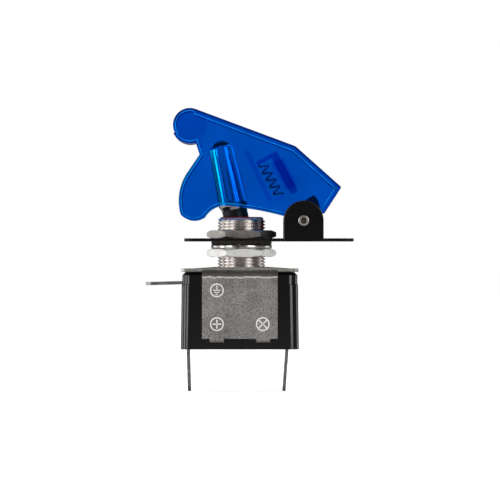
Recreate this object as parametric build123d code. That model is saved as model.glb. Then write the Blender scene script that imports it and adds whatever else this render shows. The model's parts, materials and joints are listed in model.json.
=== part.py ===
from build123d import *
import os
from math import atan2, cos, degrees, radians, sin, sqrt, tan

# Illuminated toggle switch with a flip-up safety cover.
# Frame: +X towards the cover's hinge, +Z up along the bushing, origin on the bushing's axis at the
# underside of the guard plate. The lever and the cover both swing about axes parallel to Y.
# The lever is drawn in its OFF position and the cover closed. Millimetres.

# Fits
RUNNING = 0.05
SLIP = 0.15
AIR = 0.3

# Guard plate and its ears
SHEET = 0.8
PLATE_FRONT = -14.5
PLATE_REAR = 28.45
PLATE_WIDTH = 18.6
PLATE_END_RADIUS = 2.0
EAR_WIDTH = 10.1
EAR_BEND = 0.5
RELIEF_WIDTH = 0.7
RELIEF_DEPTH = 1.6

# Cover hinge
HINGE_X = 15.75
HINGE_Z = 5.3
RIVET_RADIUS = 1.1
RIVET_BORE = 0.8
RIVET_HEAD_RADIUS = 1.4
RIVET_HEAD = 0.35
RIVET_HEAD_ROUND = 0.28

# Cover
COVER_GAP = 0.6
COVER_SIDE = 1.2
COVER_ROOF = 1.3
HUB_RADIUS = 3.9
ROLL_X = -13.05
ROLL_Z = 29.5
ROLL_RADIUS = 4.3
ROLL_LIP = 0.4
ROLL_END = -72
ROLL_UNDER = -115
LIP_START = -154
ROLL_FRONT = 150
ROOF_PITCH = 20.4
KNEE_X = 13.7
KNEE_RADIUS = 2.5
TIP = (25.35, 13.75)
TIP_RADIUS = 0.6
REAR_FOOT = (21.1, 7.2)
SKIRT_REAR = (10.6, 6.6)
SKIRT_MIDDLE = (1.0, 8.55)
SKIRT_FRONT = (-5.0, 9.1)
LOBE_HOLLOW = (-7.55, 8.1)
LOBE_INNER = (-9.3, 6.2)
LOBE_BOTTOM = (-12.4, 5.3)
LOBE_FRONT = (-15.4, 6.8)
LOBE_CHEEK = (-15.75, 12.3)
COVER_BROW = (-13.9, 17.2)
NECK_REACH = 7.85
RIB_TOP = (0.6, 23.0)
RIB_FOOT = (6.7, 10.4)
RIB_WIDTH = 1.3
RIB_PROUD = 2.2

# Snap action of the cover: a sprung plunger rides over the cam's nose
SNAP_PITCH = 61.6
SNAP_OFFSET = 1.35
PLUNGER_WIDTH = 2.0
PLUNGER_DEPTH = 2.4
PLUNGER_NOSE = 0.6
PLUNGER_TIP_AT = 7.25
PLUNGER_TOP_AT = 17.8
GUIDE_WALL = 0.7
GUIDE_LOW_AT = 8.7
GUIDE_HIGH_AT = 16.6
ARM_THICKNESS = 1.0
ARM_DEPTH = 2.0
SPRING_ASIDE = 3.7
SHELF_AT = 8.3
SHELF_THICKNESS = 0.8
SHELF_HALF_WIDTH = 1.2
SNAP_SPRING_RADIUS = 1.35
SNAP_SPRING_WIRE = 0.6
SNAP_SPRING_TURNS = 4.5
CAM_NOSE = 7.0
CAM_NOSE_AT = 68.0
CAM_HEEL_REACH = 4.2
CAM_HEEL_AT = 118.0
CAM_BACK_REACH = 5.8
CAM_BACK_AT = 47.0
CAM_NOSE_ROUND = 0.4
CAM_HUB_RADIUS = 3.2

# Bushing and its hardware
THREAD_RADIUS = 6.0
BUSHING_TOP = 6.25
BUSHING_CHAMFER = 0.8
MOUTH_RADIUS = 5.0
SPIGOT_RADIUS = 5.3
SPIGOT_LIP = 0.6
NUT_ACROSS_FLATS = 15.4
NUT_HEIGHT = 2.05
NUT_CHAMFER = 22.0
LOWER_NUT_TURN = 4.6
UPPER_NUT_TURN = 2.4
SEAL_RADIUS = 7.7
SEAL_HEIGHT = 0.7
LOCK_RADIUS = 7.75
LOCK_HEIGHT = 1.2
LOCK_ROUND = 0.45
LOCK_SPLIT = 0.8
LOCK_SPLIT_X = -0.8
LOCK_SPLIT_SLANT = 25

# Lever
PIVOT_Z = -0.4
LEVER_TILT = 12.0
BALL_RADIUS = 4.1
STEM_RADIUS = 3.2
COLLAR_TOP = 8.7
TAIL_RADIUS = 1.9
TAIL_LENGTH = 3.8
BAT_BASE_RADIUS = 3.75
BAT_TOP_RADIUS = 3.2
BAT_TOP = 25.2
BAT_FLARE = 1.2
BAT_EDGE = 0.4
LENS_RADIUS = 2.3
LENS_HEIGHT = 1.5
LED_RADIUS = 1.5
LED_DEPTH = 4.2
LED_ROUND = 0.75
LENS_SKIRT = 0.3
LEAD_RADIUS = 0.2
LEAD_SPACING = 2.0
PIVOT_PIN_RADIUS = 0.6
FOOT_RADIUS = 2.1
FOOT_LENGTH = 11.2
SEAT_RADIUS = 3.85
RETAINER_HEIGHT = 1.2
RETAINER_DROP = 2.7
LEAD_BORE = 1.3
BORE_WEB = 0.8
CONTACT_PLUNGER_RADIUS = 1.1
CONTACT_PLUNGER_LENGTH = 5.2
TIP_REACH = 13.6
CONTACT_SPRING_RADIUS = 0.95
CONTACT_SPRING_WIRE = 0.3
CONTACT_SPRING_TURNS = 6

# Yoke and housing
YOKE_TOP = -6.9
YOKE_DROP = 17.7
YOKE_OVERHANG = 0.1
CASE_MIDDLE = -0.4
YOKE_BEND = 1.6
YOKE_CORNER = 1.0
BOSS_RADIUS = 13.0
BOSS_TOP_RADIUS = 6.6
BOSS_RISE = 0.45
LEG_WIDTH = 19.1
TAB_WIDTH = 3.5
TAB_DROP = 1.0
TAB_SPACING = 11.75
TAB_HOOK = 1.0
HOUSING_LENGTH = 29.5
HOUSING_DEPTH = 17.0
HOUSING_CORNER = 2.6
HOUSING_DRAFT = 0.25
HOUSING_STEP = 0.15
CAP_HEIGHT = 3.25
HOUSING_BOTTOM = -27.35
HOUSING_WALL = 1.2
HOUSING_FLOOR = 1.8
CAP_ROOF = 1.4
TAB_RECESS = 0.5
REST_SPACING = 7.5
REST_THICKNESS = 1.2

# Terminals
BLADE_WIDTH = 6.3
BLADE_HOLE = 0.75
BLADE_HOLE_IN = 3.2
BLADE_CORNER = 1.2
LOAD_INSET = 2.75
POWER_INNER = -2.6
LOAD_INNER = -1.4
EARTH_INNER = -6.5
BLADE_DROP = 10.7
POWER_LEAN = 1.6
LOAD_LEAN = -4.2
EARTH_REACH = 9.2
EARTH_LEAN = 1.5

# Contact works
ROCKER_SHEET = 0.6
ROCKER_WIDTH = 4.0
ROCKER_ARM = 5.2
ROCKER_RISE = 12.0
ROCKER_TILT = 8.0
CONTACT_RADIUS = 1.4
CONTACT_HEIGHT = 0.7
CONTACT_X = 4.0
FULCRUM_RISE = 1.2
FULCRUM_FOOT = 0.9
FULCRUM_CREST = 0.3
LUG_WIDTH = 0.8
LUG_SHEET = 0.5
RESISTOR_RADIUS = 0.9
RESISTOR_LENGTH = 3.4
RESISTOR_WAIST = 0.85
RESISTOR_LEAD = 0.7
RESISTOR_INSET = 3.4

HINGE = (HINGE_X, HINGE_Z)
COVER_WIDTH = PLATE_WIDTH - 2 * SHEET - 2 * COVER_GAP
COVER_INSIDE = COVER_WIDTH / 2 - COVER_SIDE
SNAP_DOWN = (cos(radians(SNAP_PITCH)), -sin(radians(SNAP_PITCH)))
YOKE_UNDER = YOKE_TOP - SHEET
PARTING = YOKE_UNDER - CAP_HEIGHT
EARTH_Z = PARTING + SHEET / 2 + RUNNING
YOKE_LENGTH = HOUSING_LENGTH + 2 * YOKE_OVERHANG
YOKE_WIDTH = HOUSING_DEPTH + 2 * (SHEET + RUNNING)
PLATE_HALF = HOUSING_DEPTH / 2 + YOKE_OVERHANG
CASE_LEFT = CASE_MIDDLE - HOUSING_LENGTH / 2
CASE_RIGHT = CASE_MIDDLE + HOUSING_LENGTH / 2
POWER_X = CASE_LEFT + HOUSING_WALL + SHEET / 2
LOAD_X = CASE_RIGHT - LOAD_INSET
RESISTOR_X = POWER_X + RESISTOR_INSET
NUT_RADIUS = NUT_ACROSS_FLATS / 2 / cos(radians(30))
RUNNING_BORE = THREAD_RADIUS + SLIP


def side_view(shape):
    """Turn a shape drawn in X and Z into one that stands in the part's XZ plane."""
    return Plane.XZ * shape


def slab(face, low_y, high_y):
    """Extrude a face drawn in X and Z from low_y to high_y."""
    return Pos(0, high_y, 0) * extrude(side_view(face), high_y - low_y)


def polar(centre, radius, angle):
    """Point at a radius and an angle in degrees from a centre."""
    return (centre[0] + radius * cos(radians(angle)), centre[1] + radius * sin(radians(angle)))


def profile(points):
    """Closed face through a few corner points."""
    return make_face(Polyline(*points, close=True).edges())


def corners_near(shape, point):
    """Corners of a flat shape at a point."""
    return [v for v in shape.vertices() if (v.X - point[0]) ** 2 + (v.Y - point[1]) ** 2 < SLIP ** 2]


def box_between(low, high):
    """Box from its lowest corner to its highest corner."""
    size = [b - a for a, b in zip(low, high)]
    return Pos(*[(a + b) / 2 for a, b in zip(low, high)]) * Box(*size)


def ring(outer, inner, low, high):
    """Plain ring about the Z axis."""
    height = high - low
    return Pos(0, 0, (low + high) / 2) * (Cylinder(outer, height) - Cylinder(inner, height))


def coil(radius, wire, turns, length):
    """Open compression spring about Z, standing on the origin."""
    pitch = (length - wire) / turns
    path = Helix(pitch, pitch * turns, radius - wire / 2)
    start = path @ 0
    section = Plane(origin=start, z_dir=path % 0) * Circle(wire / 2)
    return Pos(0, 0, wire / 2) * sweep(section, path)


def guard_bracket():
    """Guard plate of black sheet, with two ears bent up from its side edges."""
    length = PLATE_REAR - PLATE_FRONT
    outline = Pos((PLATE_REAR + PLATE_FRONT) / 2, 0) * RectangleRounded(length, PLATE_WIDTH, PLATE_END_RADIUS)
    plate = extrude(outline, SHEET)
    top = HINGE_Z + EAR_WIDTH / 2
    ear = Pos(HINGE_X, HINGE_Z) * Circle(EAR_WIDTH / 2)
    ear += Pos(HINGE_X, HINGE_Z / 2) * Rectangle(EAR_WIDTH, HINGE_Z)
    ear -= Pos(HINGE_X, HINGE_Z) * Circle(RIVET_RADIUS)
    half = PLATE_WIDTH / 2
    bracket = plate + slab(ear, -half, -half + SHEET) + slab(ear, half - SHEET, half)
    for side in (-1, 1):
        for end in (-1, 1):
            x = HINGE_X + end * (EAR_WIDTH + RELIEF_WIDTH) / 2
            bracket -= Pos(x, side * (half - RELIEF_DEPTH / 2), 0) * Box(RELIEF_WIDTH, RELIEF_DEPTH, top)
    folds = [e for e in bracket.edges().filter_by(Axis.X)
             if abs(e.center().Z) < SLIP and abs(e.center().X - HINGE_X) < SLIP
             and abs(e.center().Y) > half - SLIP]
    bracket = fillet(folds, EAR_BEND)
    return bracket - Cylinder(RUNNING_BORE, 4 * SHEET)


def hinge_rivet():
    """Tubular rivet through both ears, with a turned-over head at each end."""
    half = PLATE_WIDTH / 2
    rivet = Cylinder(RIVET_RADIUS, 2 * half)
    for end in (-1, 1):
        rivet += Pos(0, 0, end * (half + RIVET_HEAD / 2)) * Cylinder(RIVET_HEAD_RADIUS, RIVET_HEAD)
    rims = rivet.edges().filter_by(GeomType.CIRCLE).group_by(Axis.Z)
    rivet = fillet(rims[0] + rims[-1], RIVET_HEAD_ROUND)
    rivet -= Cylinder(RIVET_BORE, PLATE_WIDTH + 4 * RIVET_HEAD)
    return Pos(HINGE_X, 0, HINGE_Z) * Rot(90, 0, 0) * rivet


def roof_direction():
    """Unit vector down the roof's slope, and the one square to it."""
    pitch = radians(ROOF_PITCH)
    return (cos(pitch), -sin(pitch)), (sin(pitch), cos(pitch))


def cover_outline(lip):
    """Side outline of the cover, from the roof by the rear wall, the skirt, the lobe and the finger roll."""
    along, up = roof_direction()
    roll = (ROLL_X, ROLL_Z)
    roof_start = (ROLL_X + ROLL_RADIUS * up[0], ROLL_Z + ROLL_RADIUS * up[1])
    run = (KNEE_X - roof_start[0]) / along[0]
    knee = (KNEE_X, roof_start[1] + run * along[1])
    lip_radius = ROLL_RADIUS + lip
    lines = [
        Line(roof_start, knee),
        Line(knee, TIP),
        Line(TIP, REAR_FOOT),
        Line(REAR_FOOT, SKIRT_REAR),
        ThreePointArc(SKIRT_REAR, SKIRT_MIDDLE, SKIRT_FRONT),
        ThreePointArc(SKIRT_FRONT, LOBE_HOLLOW, LOBE_INNER),
        ThreePointArc(LOBE_INNER, LOBE_BOTTOM, LOBE_FRONT),
        ThreePointArc(LOBE_FRONT, LOBE_CHEEK, COVER_BROW),
        Line(COVER_BROW, polar(roll, NECK_REACH, ROLL_END)),
        Line(polar(roll, NECK_REACH, ROLL_END), polar(roll, lip_radius, ROLL_END)),
        ThreePointArc(polar(roll, lip_radius, ROLL_END), polar(roll, lip_radius, ROLL_UNDER),
                      polar(roll, lip_radius, LIP_START)),
        ThreePointArc(polar(roll, ROLL_RADIUS, LIP_START), polar(roll, ROLL_RADIUS, ROLL_FRONT), roof_start),
    ]
    if lip > 0:
        lines.append(Line(polar(roll, lip_radius, LIP_START), polar(roll, ROLL_RADIUS, LIP_START)))
    face = fillet(corners_near(make_face(lines), knee), KNEE_RADIUS)
    return fillet(corners_near(face, TIP), TIP_RADIUS)


def along_snap(distance, aside=0.0):
    """Point up the snap plunger's line from the hinge's foot on it, and off to the lever's side of it."""
    foot = (HINGE_X - SNAP_OFFSET * SNAP_DOWN[1], HINGE_Z + SNAP_OFFSET * SNAP_DOWN[0])
    return (foot[0] - distance * SNAP_DOWN[0] + aside * SNAP_DOWN[1],
            foot[1] - distance * SNAP_DOWN[1] - aside * SNAP_DOWN[0])


def snap_bar(low, high, left, right):
    """Bar in X and Z that runs along the snap plunger's line, between two distances and two sides."""
    return profile([along_snap(low, left), along_snap(high, left),
                    along_snap(high, right), along_snap(low, right)])


def safety_cover():
    """Moulded see-through cover: two side walls, a perimeter wall, guide box, ribs and hinge hubs."""
    half = COVER_WIDTH / 2
    outer = cover_outline(ROLL_LIP) + profile([REAR_FOOT, HINGE, SKIRT_REAR])
    outer += Pos(*HINGE) * Circle(HUB_RADIUS)
    roll = (ROLL_X, ROLL_Z)
    hollow = offset(cover_outline(0), -COVER_ROOF, kind=Kind.ARC) - Pos(*roll) * Circle(ROLL_RADIUS)
    neck = polar(roll, NECK_REACH, ROLL_END)
    front = LOBE_CHEEK[0] - COVER_ROOF
    mouth = profile([neck, (front, neck[1]), (front, 0), (REAR_FOOT[0], 0), REAR_FOOT,
                     (REAR_FOOT[0] - COVER_ROOF, REAR_FOOT[1] + 2 * COVER_SIDE),
                     (SKIRT_REAR[0], SKIRT_REAR[1] + 2 * COVER_ROOF),
                     polar(roll, ROLL_RADIUS + ROLL_LIP, ROLL_END)])
    cover = slab(outer, -half, half) - slab(hollow + mouth, -COVER_INSIDE, COVER_INSIDE)
    rib = profile([RIB_TOP, (RIB_TOP[0] + RIB_WIDTH, RIB_TOP[1]),
                   (RIB_FOOT[0] + RIB_WIDTH, RIB_FOOT[1]), RIB_FOOT])
    for side in (-1, 1):
        inner = side * COVER_INSIDE
        proud = inner - side * RIB_PROUD
        cover += slab(rib, min(inner, proud), max(inner, proud))
    half_bore = PLUNGER_WIDTH / 2 + SLIP
    bore_depth = PLUNGER_DEPTH + 2 * SLIP
    guide = slab(snap_bar(GUIDE_LOW_AT, GUIDE_HIGH_AT, half_bore + GUIDE_WALL, -half_bore - GUIDE_WALL),
                 -COVER_INSIDE, -COVER_INSIDE + bore_depth + GUIDE_WALL)
    guide -= slab(snap_bar(GUIDE_LOW_AT - GUIDE_WALL, GUIDE_HIGH_AT + GUIDE_WALL, half_bore, -half_bore),
                  -COVER_INSIDE, -COVER_INSIDE + bore_depth)
    shelf = slab(snap_bar(SHELF_AT - SHELF_THICKNESS, SHELF_AT, SPRING_ASIDE + SHELF_HALF_WIDTH,
                          SPRING_ASIDE - SHELF_HALF_WIDTH),
                 -COVER_INSIDE, -COVER_INSIDE + 2 * SNAP_SPRING_RADIUS + AIR)
    cover = cover + guide + shelf
    return cover - slab(Pos(*HINGE) * Circle(RIVET_RADIUS + RUNNING), -half, half)


def snap_plunger():
    """Sliding plunger that rides over the cam's nose, with the arm that its spring draws on."""
    inner = -COVER_INSIDE + SLIP
    half = PLUNGER_WIDTH / 2
    bar = slab(snap_bar(PLUNGER_TIP_AT, PLUNGER_TOP_AT, half, -half), inner, inner + PLUNGER_DEPTH)
    tips = [e for e in bar.edges().filter_by(Axis.Y)
            if abs(e.center().Z - along_snap(PLUNGER_TIP_AT)[1]) < half]
    bar = fillet(tips, PLUNGER_NOSE)
    arm = snap_bar(PLUNGER_TOP_AT, PLUNGER_TOP_AT + ARM_THICKNESS, SPRING_ASIDE + SHELF_HALF_WIDTH, -half)
    return bar + slab(arm, inner, inner + ARM_DEPTH)


def snap_spring():
    """Spring between the cover's shelf and the plunger's arm."""
    low, high = SHELF_AT, PLUNGER_TOP_AT
    spring = coil(SNAP_SPRING_RADIUS, SNAP_SPRING_WIRE, SNAP_SPRING_TURNS, high - low)
    x, z = along_snap(low, SPRING_ASIDE)
    middle = -COVER_INSIDE + SLIP + SNAP_SPRING_RADIUS
    return Pos(x, middle, z) * Rot(0, SNAP_PITCH - 90, 0) * spring


def snap_cam():
    """Cam block on the rivet between the cover's walls, standing on the plate, with a nose."""
    nose = polar(HINGE, CAM_NOSE, CAM_NOSE_AT)
    left = (HINGE_X - CAM_HUB_RADIUS, HINGE_Z)
    right = (HINGE_X + CAM_HUB_RADIUS, HINGE_Z)
    heel = polar(HINGE, CAM_HEEL_REACH, CAM_HEEL_AT)
    flank = polar(HINGE, (CAM_HUB_RADIUS + CAM_HEEL_REACH) / 2, (180 + CAM_HEEL_AT) / 2)
    face = make_face([
        Line((left[0], SHEET), left),
        ThreePointArc(left, flank, heel),
        Line(heel, nose),
        ThreePointArc(nose, polar(HINGE, CAM_BACK_REACH, CAM_BACK_AT), right),
        Line(right, (right[0], SHEET)),
        Line((right[0], SHEET), (left[0], SHEET)),
    ])
    face = fillet(corners_near(face, nose), CAM_NOSE_ROUND)
    half = COVER_INSIDE - 2 * SLIP
    return slab(face - Pos(*HINGE) * Circle(RIVET_RADIUS), -half, half)


def bushing():
    """Turned bushing: plain outside at the thread's size, a seat for the ball and a wide mouth."""
    seat_rise = sqrt((BALL_RADIUS + RUNNING) ** 2 - SEAT_RADIUS ** 2)
    bore = BALL_RADIUS + RUNNING
    foot = YOKE_UNDER - SPIGOT_LIP
    waist = polar((0, PIVOT_Z), bore, degrees(atan2(seat_rise, SEAT_RADIUS)) / 2)
    face = make_face([
        Line((bore, foot), (bore, PIVOT_Z)),
        ThreePointArc((bore, PIVOT_Z), waist, (SEAT_RADIUS, PIVOT_Z + seat_rise)),
        Line((SEAT_RADIUS, PIVOT_Z + seat_rise), (MOUTH_RADIUS, BUSHING_TOP)),
        Line((MOUTH_RADIUS, BUSHING_TOP), (THREAD_RADIUS - BUSHING_CHAMFER, BUSHING_TOP)),
        Line((THREAD_RADIUS - BUSHING_CHAMFER, BUSHING_TOP), (THREAD_RADIUS, BUSHING_TOP - BUSHING_CHAMFER)),
        Line((THREAD_RADIUS, BUSHING_TOP - BUSHING_CHAMFER), (THREAD_RADIUS, YOKE_TOP)),
        Line((THREAD_RADIUS, YOKE_TOP), (SPIGOT_RADIUS, YOKE_TOP)),
        Line((SPIGOT_RADIUS, YOKE_TOP), (SPIGOT_RADIUS, foot)),
        Line((SPIGOT_RADIUS, foot), (bore, foot)),
    ])
    body = revolve(side_view(face), Axis.Z)
    slot = PIVOT_PIN_RADIUS + RUNNING
    groove = Circle(slot) + Pos(0, -slot_drop() / 2) * Rectangle(2 * slot, slot_drop())
    return body - slab(Pos(0, PIVOT_Z) * groove, -pin_reach() - SLIP, pin_reach() + SLIP)


def pin_reach():
    """Half the pivot pin's length: its ends run in the bushing's grooves."""
    return (BALL_RADIUS + THREAD_RADIUS) / 2


def slot_drop():
    """How far the bushing's grooves run down from the pivot to its open lower end."""
    return PIVOT_Z - YOKE_UNDER + SPIGOT_LIP


def hex_nut(low, turn):
    """Thin hexagon nut on the bushing, with both faces' corners turned off, and a plain bore."""
    prism = Rot(0, 0, turn) * extrude(RegularPolygon(NUT_RADIUS, 6), NUT_HEIGHT)
    flat = NUT_ACROSS_FLATS / 2
    drop = (NUT_RADIUS - flat) * tan(radians(NUT_CHAMFER))
    barrel = make_face(Polyline((0, 0), (flat, 0), (NUT_RADIUS, drop), (NUT_RADIUS, NUT_HEIGHT - drop),
                                (flat, NUT_HEIGHT), (0, NUT_HEIGHT), close=True).edges())
    nut = prism & revolve(side_view(barrel), Axis.Z)
    return Pos(0, 0, low) * (nut - Cylinder(THREAD_RADIUS, 3 * NUT_HEIGHT))


def lock_washer():
    """Split spring washer: its cut ends stand a little apart."""
    low = -SEAL_HEIGHT - LOCK_HEIGHT
    washer = ring(LOCK_RADIUS, THREAD_RADIUS + SLIP, low, -SEAL_HEIGHT)
    rims = washer.edges().filter_by(GeomType.CIRCLE).sort_by(Edge.radius)[-2:]
    washer = fillet(rims, LOCK_ROUND)
    split = Pos(LOCK_SPLIT_X, -LOCK_RADIUS, low + LOCK_HEIGHT / 2) * Rot(0, LOCK_SPLIT_SLANT, 0)
    return washer - split * Box(LOCK_SPLIT, LOCK_RADIUS, 2 * LOCK_HEIGHT)


def tilted(shape):
    """Put a shape drawn upright about the pivot in the lever's OFF position."""
    return Pos(0, 0, PIVOT_Z) * Rot(0, -LEVER_TILT, 0) * shape


def actuator():
    """Black nylon collar, ball and stem in one, bored for the bat's tail, the leads and the plunger."""
    body = Pos(0, 0, COLLAR_TOP / 2) * Cylinder(STEM_RADIUS, COLLAR_TOP)
    body += Sphere(BALL_RADIUS)
    body += Pos(0, 0, -FOOT_LENGTH / 2) * Cylinder(FOOT_RADIUS, FOOT_LENGTH)
    body -= Pos(0, 0, COLLAR_TOP - TAIL_LENGTH / 2) * Cylinder(TAIL_RADIUS, TAIL_LENGTH)
    body -= Pos(0, 0, (COLLAR_TOP + lead_end()) / 2) * Cylinder(LEAD_BORE, COLLAR_TOP - lead_end())
    bore = plunger_bore()
    body -= Pos(0, 0, -FOOT_LENGTH + bore / 2) * Cylinder(CONTACT_PLUNGER_RADIUS + RUNNING, bore)
    return tilted(body - Rot(90, 0, 0) * Cylinder(PIVOT_PIN_RADIUS, 3 * BALL_RADIUS))


def plunger_bore():
    """Depth of the bore in the actuator's foot that holds the contact plunger and its spring."""
    return FOOT_LENGTH + lead_end() - BORE_WEB


def lead_end():
    """Height of the lead bore's bottom, just under the pivot pin."""
    return -PIVOT_PIN_RADIUS - BORE_WEB


def pivot_pin():
    """Cross pin through the ball, whose ends turn in the bushing's grooves."""
    return tilted(Rot(90, 0, 0) * Cylinder(PIVOT_PIN_RADIUS, 2 * pin_reach()))


def ball_retainer():
    """Ring pressed into the bushing under the ball."""
    high = PIVOT_Z - RETAINER_DROP
    low = high - RETAINER_HEIGHT
    body = ring(BALL_RADIUS + RUNNING, FOOT_RADIUS + AIR, low, high)
    body -= Pos(0, 0, PIVOT_Z) * Sphere(BALL_RADIUS + RUNNING)
    reach = (low - PIVOT_Z) * -tan(radians(LEVER_TILT)) + (FOOT_RADIUS + AIR) / cos(radians(LEVER_TILT))
    return body - Pos(0, 0, (low + high) / 2) * Cylinder(reach, 2 * RETAINER_HEIGHT)


def lever_bat():
    """Plated hollow bat: a short flare at the collar, a slow taper, a tail and the LED's seat."""
    face = make_face([
        Line((0, COLLAR_TOP - TAIL_LENGTH), (TAIL_RADIUS, COLLAR_TOP - TAIL_LENGTH)),
        Line((TAIL_RADIUS, COLLAR_TOP - TAIL_LENGTH), (TAIL_RADIUS, COLLAR_TOP)),
        Line((TAIL_RADIUS, COLLAR_TOP), (STEM_RADIUS, COLLAR_TOP)),
        ThreePointArc((STEM_RADIUS, COLLAR_TOP), (BAT_BASE_RADIUS - BAT_EDGE, COLLAR_TOP + BAT_EDGE),
                      (BAT_BASE_RADIUS, COLLAR_TOP + BAT_FLARE)),
        Line((BAT_BASE_RADIUS, COLLAR_TOP + BAT_FLARE), (BAT_TOP_RADIUS, BAT_TOP - BAT_EDGE)),
        Line((BAT_TOP_RADIUS, BAT_TOP - BAT_EDGE), (BAT_TOP_RADIUS - BAT_EDGE, BAT_TOP)),
        Line((BAT_TOP_RADIUS - BAT_EDGE, BAT_TOP), (0, BAT_TOP)),
        Line((0, BAT_TOP), (0, COLLAR_TOP - TAIL_LENGTH)),
    ])
    bat = revolve(side_view(face), Axis.Z)
    bat -= Cylinder(LEAD_BORE, 3 * BAT_TOP)
    return tilted(bat - Pos(0, 0, BAT_TOP - LED_DEPTH / 2) * Cylinder(LED_RADIUS + LENS_SKIRT, LED_DEPTH))


def lens():
    """Domed lens with a skirt that plugs into the bat's end and a hollow for the LED."""
    rise = (LENS_RADIUS ** 2 + LENS_HEIGHT ** 2) / 2 / LENS_HEIGHT
    dome = Pos(0, 0, BAT_TOP + LENS_HEIGHT - rise) * Sphere(rise)
    dome &= Pos(0, 0, BAT_TOP + LENS_HEIGHT / 2) * Cylinder(2 * LENS_RADIUS, LENS_HEIGHT)
    dome += Pos(0, 0, BAT_TOP - LED_DEPTH / 2) * Cylinder(LED_RADIUS + LENS_SKIRT, LED_DEPTH)
    return tilted(dome - Pos(0, 0, BAT_TOP - LED_DEPTH / 2) * Cylinder(LED_RADIUS, LED_DEPTH))


def led():
    """LED body with a rounded nose inside the lens."""
    body = Pos(0, 0, BAT_TOP - LED_DEPTH / 2) * Cylinder(LED_RADIUS, LED_DEPTH)
    rim = body.edges().filter_by(GeomType.CIRCLE).sort_by(Axis.Z)[-1]
    return tilted(fillet(rim, LED_ROUND))


def led_leads():
    """The LED's two leads, down through the bat and the ball, one each side of the pivot pin."""
    low = lead_end()
    high = BAT_TOP - LED_DEPTH
    wire = Pos(0, 0, (low + high) / 2) * Cylinder(LEAD_RADIUS, high - low)
    return [tilted(Pos(side * LEAD_SPACING / 2, 0, 0) * wire) for side in (-1, 1)]


def contact_plunger():
    """Round-nosed plunger in the actuator's foot that presses on the rocker."""
    high = -TIP_REACH + CONTACT_PLUNGER_LENGTH
    low = -TIP_REACH + CONTACT_PLUNGER_RADIUS
    body = Pos(0, 0, (low + high) / 2) * Cylinder(CONTACT_PLUNGER_RADIUS, high - low)
    return tilted(body + Pos(0, 0, low) * Sphere(CONTACT_PLUNGER_RADIUS))


def plunger_spring():
    """Spring between the bottom of the actuator's bore and the contact plunger."""
    low = -TIP_REACH + CONTACT_PLUNGER_LENGTH
    high = -FOOT_LENGTH + plunger_bore()
    spring = coil(CONTACT_SPRING_RADIUS, CONTACT_SPRING_WIRE, CONTACT_SPRING_TURNS, high - low)
    return tilted(Pos(0, 0, low) * spring)


def yoke():
    """Plated sheet yoke: a top plate, a leg down each side and two hooked tabs on each leg."""
    half = YOKE_WIDTH / 2
    low = YOKE_TOP - YOKE_DROP
    across = make_face(Polyline((-half, low), (-half, YOKE_TOP), (half, YOKE_TOP), (half, low),
                                (half - SHEET, low), (half - SHEET, YOKE_UNDER),
                                (-half + SHEET, YOKE_UNDER), (-half + SHEET, low), close=True).edges())
    across = fillet([v for v in across.vertices() if abs(v.Y - YOKE_TOP) < SLIP], YOKE_BEND)
    across = fillet([v for v in across.vertices() if abs(v.Y - YOKE_UNDER) < SLIP], YOKE_BEND - SHEET)
    saddle = Pos(CASE_MIDDLE, 0, 0) * extrude(Plane.YZ * across, LEG_WIDTH / 2, both=True)
    plate = Pos(CASE_MIDDLE, 0, (YOKE_TOP + YOKE_UNDER) / 2) * Box(YOKE_LENGTH, 2 * PLATE_HALF, SHEET)
    corners = plate.edges().filter_by(Axis.Z)
    boss = Pos(0, 0, YOKE_TOP + BOSS_RISE / 2) * Cone(BOSS_RADIUS, BOSS_TOP_RADIUS, BOSS_RISE)
    flat = Pos(0, 0, YOKE_TOP + BOSS_RISE / 2) * Box(2 * BOSS_RADIUS, YOKE_WIDTH - 2 * YOKE_BEND, BOSS_RISE)
    body = saddle + fillet(corners, YOKE_CORNER) + (boss & flat)
    for side in (-1, 1):
        for end in (-1, 1):
            x = CASE_MIDDLE + end * TAB_SPACING / 2
            body += Pos(x, 0, 0) * tab(side)
    body -= Pos(0, 0, YOKE_TOP + BOSS_RISE) * Cylinder(THREAD_RADIUS, 2 * BOSS_RISE)
    return body - Pos(0, 0, YOKE_UNDER) * Cylinder(SPIGOT_RADIUS, 4 * SHEET)


def tab(side):
    """One tab at the foot of a leg, folded inwards at its end."""
    outer = side * YOKE_WIDTH / 2
    inner = outer - side * SHEET
    hook = inner - side * TAB_HOOK
    top = YOKE_TOP - YOKE_DROP
    low = top - TAB_DROP
    half = TAB_WIDTH / 2
    upright = box_between((-half, min(outer, inner), low), (half, max(outer, inner), top))
    foot = box_between((-half, min(outer, hook), low), (half, max(outer, hook), low + SHEET))
    bend = (upright + foot).edges().filter_by(Axis.X).filter_by(
        lambda e: abs(e.center().Z - low) < SLIP and abs(e.center().Y - outer) < SLIP)
    return fillet(bend, SHEET)


def housing_block(low, high, length_low, length_high):
    """Case block with rounded upright corners, whose ends lean out a little towards the bottom."""
    end_low = length_low / 2
    end_high = length_high / 2
    face = profile([(-end_low, low), (end_low, low), (end_high, high), (-end_high, high)])
    block = slab(face, -HOUSING_DEPTH / 2, HOUSING_DEPTH / 2)
    uprights = [e for e in block.edges() if abs(e.center().Z - (low + high) / 2) < SLIP]
    return Pos(CASE_MIDDLE, 0, 0) * fillet(uprights, HOUSING_CORNER)


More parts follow.
